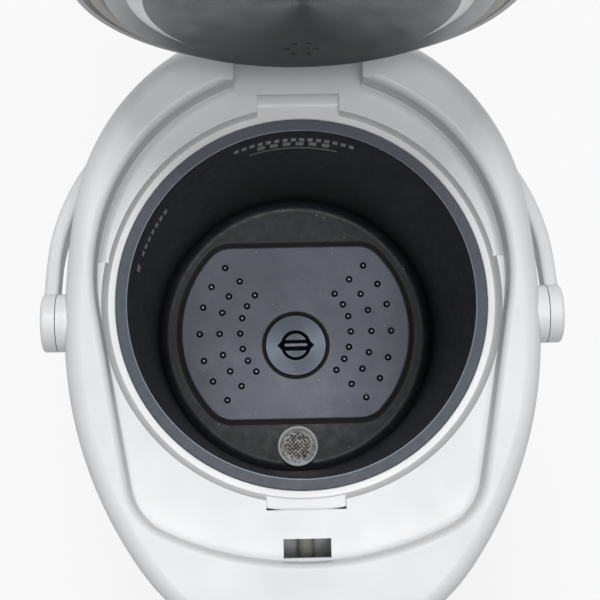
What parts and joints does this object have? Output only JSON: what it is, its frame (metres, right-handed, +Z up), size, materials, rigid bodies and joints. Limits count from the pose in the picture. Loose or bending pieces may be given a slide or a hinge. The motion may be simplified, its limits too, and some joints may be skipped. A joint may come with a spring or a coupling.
{
  "type": "electric thermo pot",
  "caption": "White electric thermo pot with its lid open on a dark coated water container, a spout under its nose and a bail handle folded back.",
  "frame": {"origin": "on the container's axis, at the level of the surface that the feet stand on", "axes": "+Z up, -Y the front with the spout and control panel, +X the user's right"},
  "size_m": [0.241, 0.3133, 0.5489],
  "materials": {
    "white_plastic": "satin gloss, warm white",
    "pot_coating": "dark non-stick coating",
    "plate_coating": "dark satin non-stick coating",
    "black_rubber": "matt",
    "silicone": "soft matt silicone",
    "bright_steel": "brushed",
    "dark_steel": "spun, dark coated",
    "clear_plastic": "clear, lightly tinted",
    "casing_paint": "painted steel sheet",
    "dark_plastic": "glossy dark",
    "grey_plastic": "matt grey",
    "base_plastic": "matt warm grey",
    "cast_aluminium": "cast",
    "board": "circuit board",
    "brass_pins": "plated",
    "button_plastic": "satin grey",
    "ball_plastic": "satin"
  },
  "bodies": {
    "housing": {"inner_pot": "pot_coating", "boiling_plate": "plate_coating", "plate_seal": "black_rubber", "cap_seal": "black_rubber", "pot_seal": "silicone", "head_housing": "white_plastic", "head_underside": "white_plastic", "outer_casing": "casing_paint", "gauge_lens": "clear_plastic", "base_pan": "base_plastic", "rubber_feet": "black_rubber", "base_screws": "bright_steel", "hinge_pin": "bright_steel", "pivot_pins": "bright_steel", "control_panel": "dark_plastic", "display_window": "dark_plastic", "control_board": "board", "spout": "grey_plastic", "spout_pipe": "silicone", "gauge_tube": "clear_plastic", "outlet_port": "grey_plastic", "inlet_hose": "silicone", "riser_hose": "silicone", "pump_housing": "grey_plastic", "pump_motor": "bright_steel", "heating_plate": "cast_aluminium", "heater_element": "bright_steel", "warm_band": "cast_aluminium", "heat_shield": "bright_steel", "thermostat": "grey_plastic", "power_board": "board", "power_inlet": "dark_plastic", "inlet_pins": "brass_pins"},
    "lid": {"lid_shell": "white_plastic", "lid_under_cover": "grey_plastic", "lid_gasket": "silicone", "inner_lid": "bright_steel", "steam_vent_cap": "grey_plastic", "steam_duct": "grey_plastic", "lever_pin": "bright_steel", "lid_screws": "bright_steel"},
    "latch_lever": {"lid_lever": "grey_plastic"},
    "vent_ball": {"steam_ball": "ball_plastic"},
    "bail": {"handle": "white_plastic"},
    "floor_cap": {"plate_cap": "dark_steel"},
    "outlet_strainer": {"strainer_ring": "bright_steel", "strainer_mesh": "dark_steel"},
    "impeller": {"pump_impeller": "grey_plastic"},
    "dispense_button": {"dispense_button": "button_plastic"},
    "unlock_button": {"unlock_button": "button_plastic"},
    "reboil_button": {"reboil_button": "button_plastic"},
    "keep_warm_button": {"keep_warm_button": "button_plastic"}
  },
  "joints": [
    {"name": "lid_hinge", "type": "hinge", "parent": "housing", "child": "lid", "pos_m": [0, 0.116, 0.312], "axis": [1, 0, 0], "range_deg": [0, 98]},
    {"name": "lever_hinge", "type": "hinge", "parent": "lid", "child": "latch_lever", "pos_m": [0, 0.15264, 0.52598], "axis": [-1, 0, 0], "range_deg": [0, 10], "stiffness_Nm_per_rad": 0.12},
    {"name": "vent_ball_travel", "type": "slide", "parent": "lid", "child": "vent_ball", "axis": [0, 0.9903, -0.1392], "range_m": [-0.0045, 0]},
    {"name": "handle_swing", "type": "hinge", "parent": "housing", "child": "bail", "pos_m": [0, -0.008, 0.3], "axis": [1, 0, 0], "range_deg": [0, 42]},
    {"name": "floor_cap_turn", "type": "hinge", "parent": "housing", "child": "floor_cap", "pos_m": [0, -0.0062, 0.078], "axis": [0, 0, 1], "range_deg": [0, 90]},
    {"name": "strainer_lift", "type": "slide", "parent": "housing", "child": "outlet_strainer", "axis": [0, 0, 1], "range_m": [0, 0.15]},
    {"name": "impeller_spin", "type": "hinge", "parent": "housing", "child": "impeller", "pos_m": [0.022, -0.067, 0.036], "axis": [1, 0, 0], "continuous": true},
    {"name": "dispense_button_press", "type": "slide", "parent": "housing", "child": "dispense_button", "axis": [0, 0.9903, -0.1392], "range_m": [0, 0.0012], "stiffness_N_per_m": 400},
    {"name": "unlock_button_press", "type": "slide", "parent": "housing", "child": "unlock_button", "axis": [0, 0.9903, -0.1392], "range_m": [0, 0.0012], "stiffness_N_per_m": 400},
    {"name": "reboil_button_press", "type": "slide", "parent": "housing", "child": "reboil_button", "axis": [0, 0.9903, -0.1392], "range_m": [0, 0.0012], "stiffness_N_per_m": 400},
    {"name": "keep_warm_button_press", "type": "slide", "parent": "housing", "child": "keep_warm_button", "axis": [0, 0.9903, -0.1392], "range_m": [0, 0.0012], "stiffness_N_per_m": 400}
  ]
}
